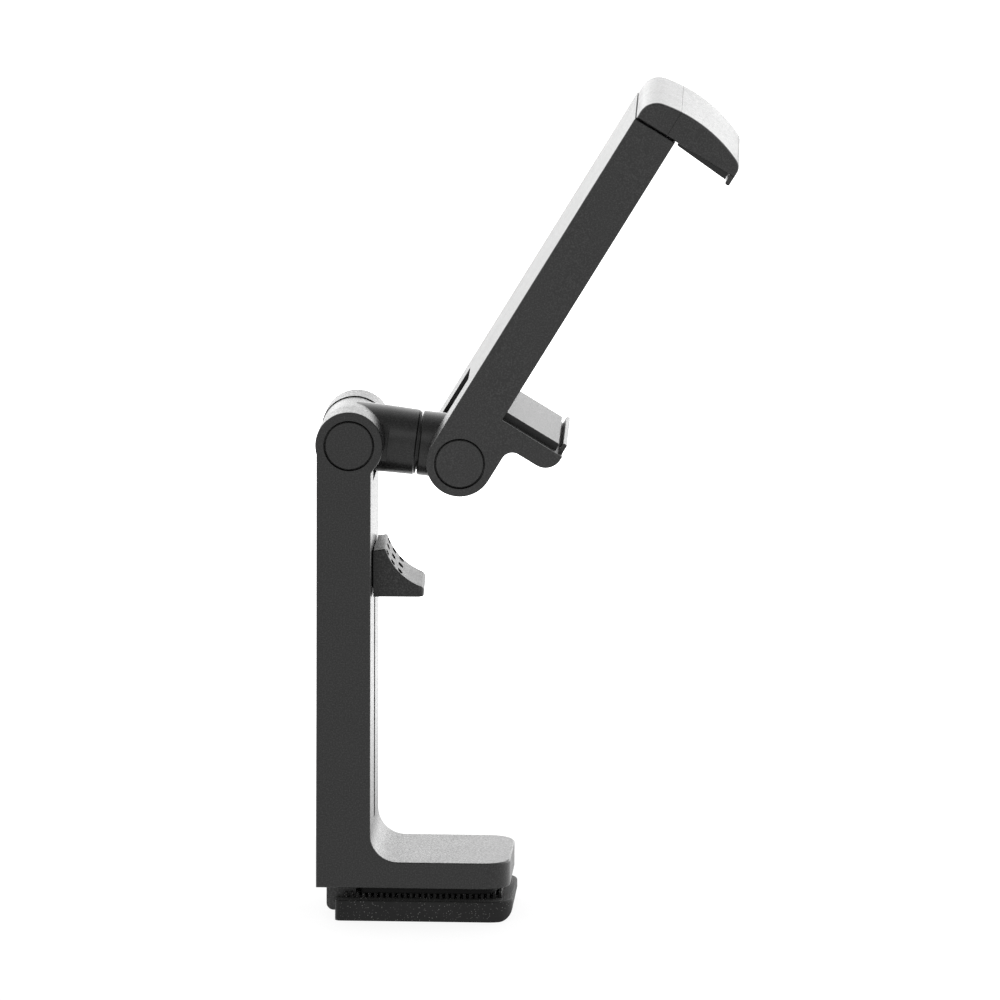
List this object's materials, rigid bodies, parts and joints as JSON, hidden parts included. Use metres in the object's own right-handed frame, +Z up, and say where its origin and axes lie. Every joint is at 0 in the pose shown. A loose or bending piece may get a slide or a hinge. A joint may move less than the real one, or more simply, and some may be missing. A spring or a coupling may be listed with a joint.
{
  "type": "clip-on phone holder",
  "caption": "Folding clip-on phone holder: an arm with a sprung table clamp, a folding, turning link, and a tilting bar with a shelf and a sprung sliding hook.",
  "frame": {"origin": "centre of the lower jaw's flat underside, on which the part stands", "axes": "+Z up along the arm, +X from the arm towards the tip of its foot, +Y across the width"},
  "size_m": [0.0818, 0.0392, 0.1622],
  "materials": {
    "black_plastic": "fine-textured black moulded plastic",
    "link_plastic": "smooth satin black moulded plastic",
    "inner_plastic": "plain dark moulded plastic, inside",
    "black_rubber": "soft matt black rubber",
    "screw_steel": "zinc-plated steel",
    "spring_steel": "drawn spring wire",
    "nylon": "natural nylon"
  },
  "bodies": {
    "arm": {"arm_housing": "black_plastic", "arm_cover": "black_plastic", "arm_cover_screws": "screw_steel", "foot_pad": "black_rubber", "jaw_spring_pin": "screw_steel", "jaw_springs": "spring_steel", "arm_hinge_cap_front": "black_plastic", "arm_hinge_cap_rear": "black_plastic", "arm_hinge_screw": "screw_steel", "arm_hinge_nut": "screw_steel", "arm_hinge_washers": "nylon"},
    "jaw": {"jaw_carriage": "inner_plastic", "jaw_boot": "black_rubber", "thumb_slider": "black_plastic", "thumb_screws": "screw_steel"},
    "link_inner": {"link_inner": "link_plastic", "swivel_screw": "screw_steel", "swivel_washer": "black_rubber", "swivel_spring_washer": "spring_steel"},
    "link_outer": {"link_outer": "link_plastic"},
    "clamp": {"clamp_housing": "black_plastic", "clamp_panel": "black_plastic", "clamp_panel_screws": "screw_steel", "shelf_pad": "black_rubber", "clamp_spring_pin": "screw_steel", "hook_springs": "spring_steel", "clamp_hinge_cap_front": "black_plastic", "clamp_hinge_cap_rear": "black_plastic", "clamp_hinge_screw": "screw_steel", "clamp_hinge_nut": "screw_steel", "clamp_hinge_washers": "nylon"},
    "hook": {"hook_carriage": "inner_plastic", "hook_cap": "black_plastic", "hook_jaw": "black_plastic", "hook_pad": "black_rubber", "hook_screws": "screw_steel", "hook_spring_pin": "screw_steel"}
  },
  "joints": [
    {"name": "arm_hinge", "type": "hinge", "parent": "arm", "child": "link_inner", "pos_m": [-0.01465, 0, 0.094], "axis": [0, -1, 0], "range_deg": [-6, 192]},
    {"name": "link_swivel", "type": "hinge", "parent": "link_inner", "child": "link_outer", "pos_m": [-0.01465, 0, 0.094], "axis": [0.9936, 0, -0.1132], "continuous": true},
    {"name": "clamp_hinge", "type": "hinge", "parent": "link_outer", "child": "clamp", "pos_m": [0.00667, 0.00019, 0.09157], "axis": [-0.0218, 0.9998, 0], "range_deg": [-45, 130]},
    {"name": "hook_slide", "type": "slide", "parent": "clamp", "child": "hook", "axis": [0.5194, 0.0113, 0.8545], "range_m": [0, 0.03], "stiffness_N_per_m": 150, "springref_m": -0.02, "deforming": ["hook_springs"]},
    {"name": "jaw_slide", "type": "slide", "parent": "arm", "child": "jaw", "axis": [0, 0, -1], "range_m": [0, 0.0455], "stiffness_N_per_m": 200, "springref_m": -0.02, "deforming": ["jaw_springs"]}
  ]
}
